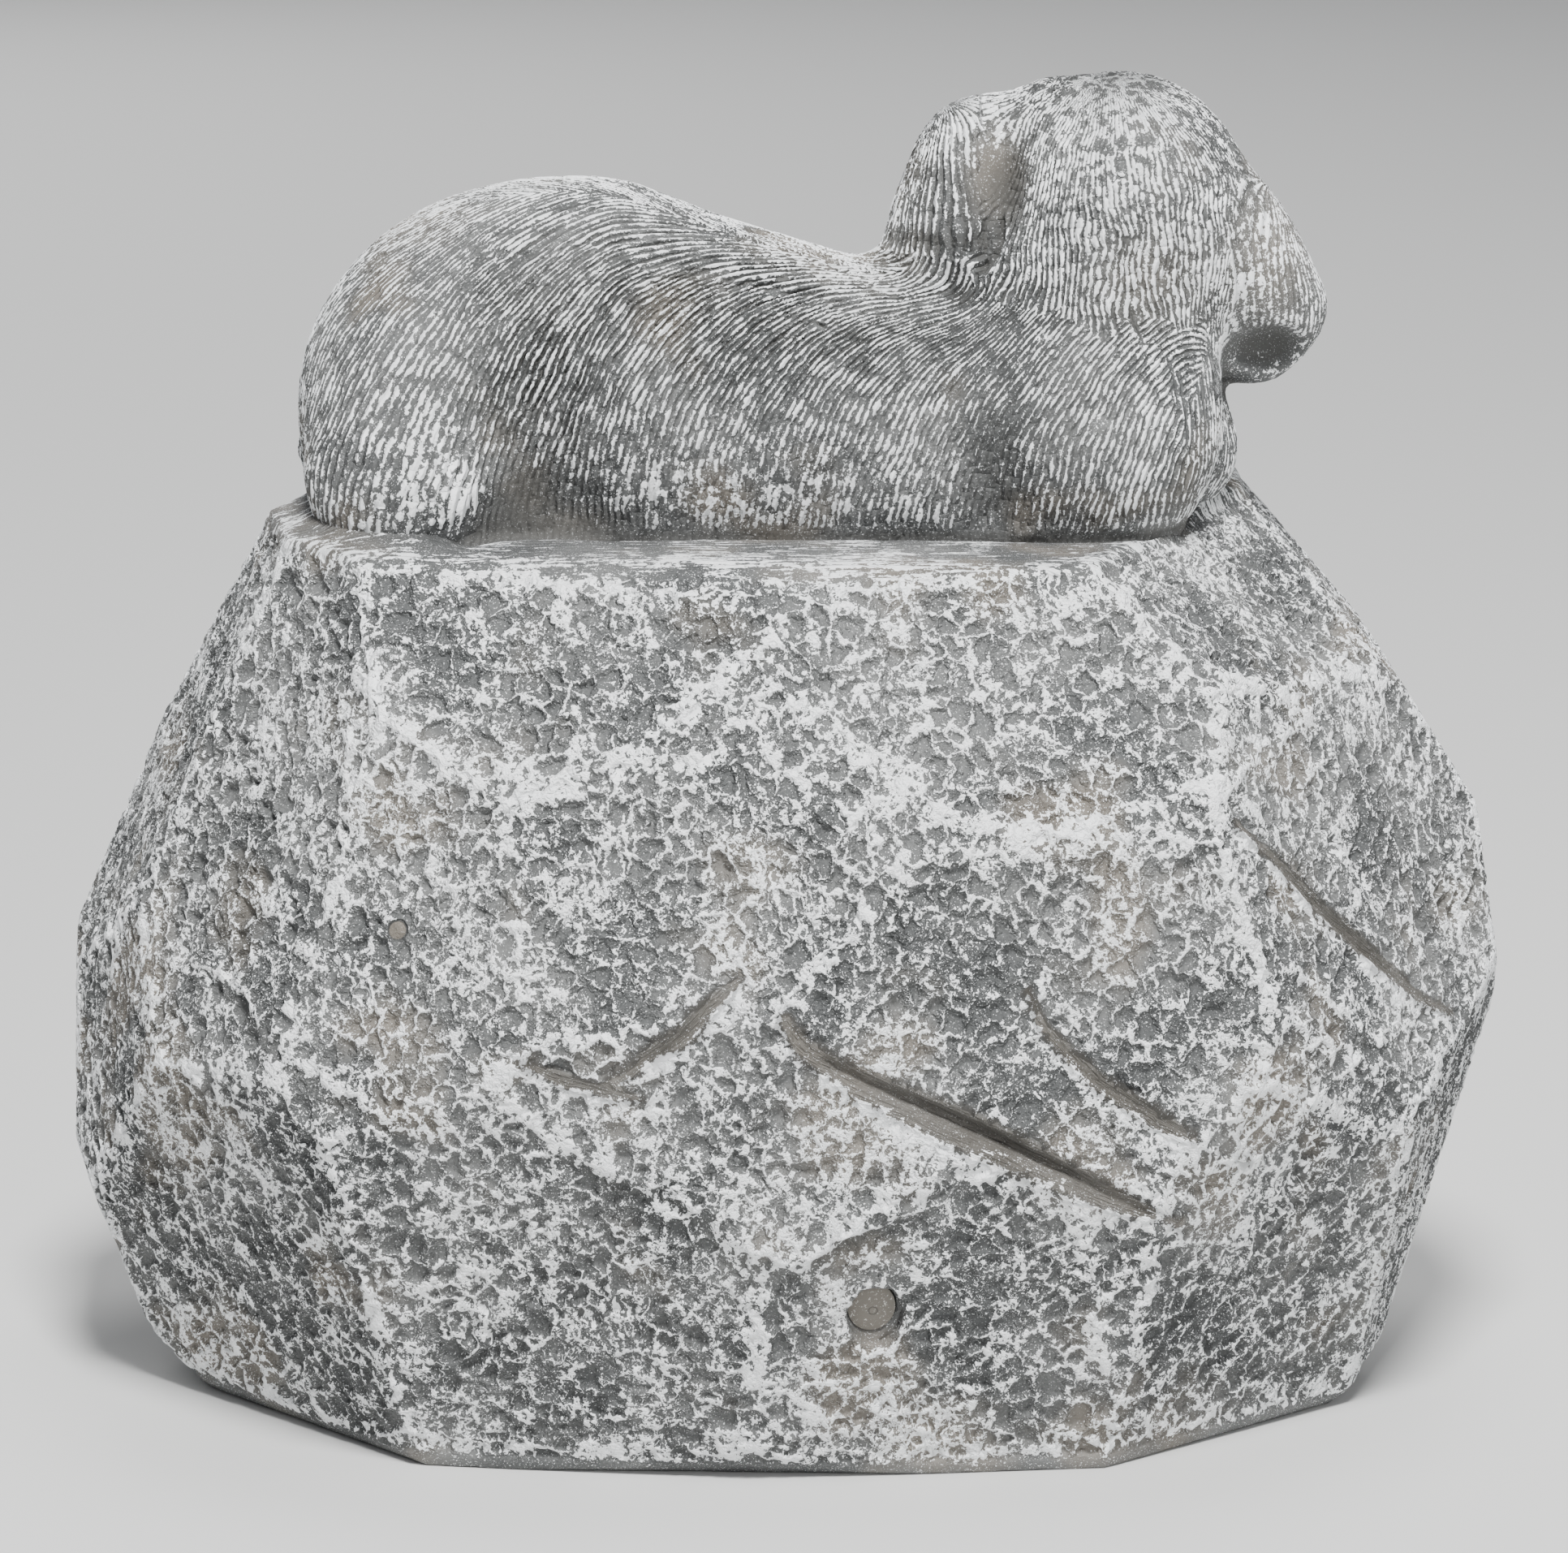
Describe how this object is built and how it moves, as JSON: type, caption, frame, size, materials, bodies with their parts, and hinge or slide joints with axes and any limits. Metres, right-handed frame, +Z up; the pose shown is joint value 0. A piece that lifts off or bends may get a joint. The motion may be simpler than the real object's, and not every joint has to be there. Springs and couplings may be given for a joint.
{
  "type": "dog memorial statue",
  "caption": "Cast-stone dog lying on a rough chiselled boulder, head turned to one side, with a small filler plug low on the boulder.",
  "frame": {"origin": "on the floor, on the boulder's flat underside, below the middle of the boulder", "axes": "+Z up; the dog lies along X with its rump at -X and its head at +X; its back faces -Y and its face looks towards +Y"},
  "size_m": [0.2535, 0.153, 0.231],
  "materials": {
    "cast_stone": "matt grey cast stone, white paint dry-brushed over the ridges of the carving",
    "filler": "brown-grey filler, slightly smoother than the stone"
  },
  "bodies": {
    "root": {"dog_on_boulder": "cast_stone", "filler_plug": "filler"}
  },
  "joints": []
}
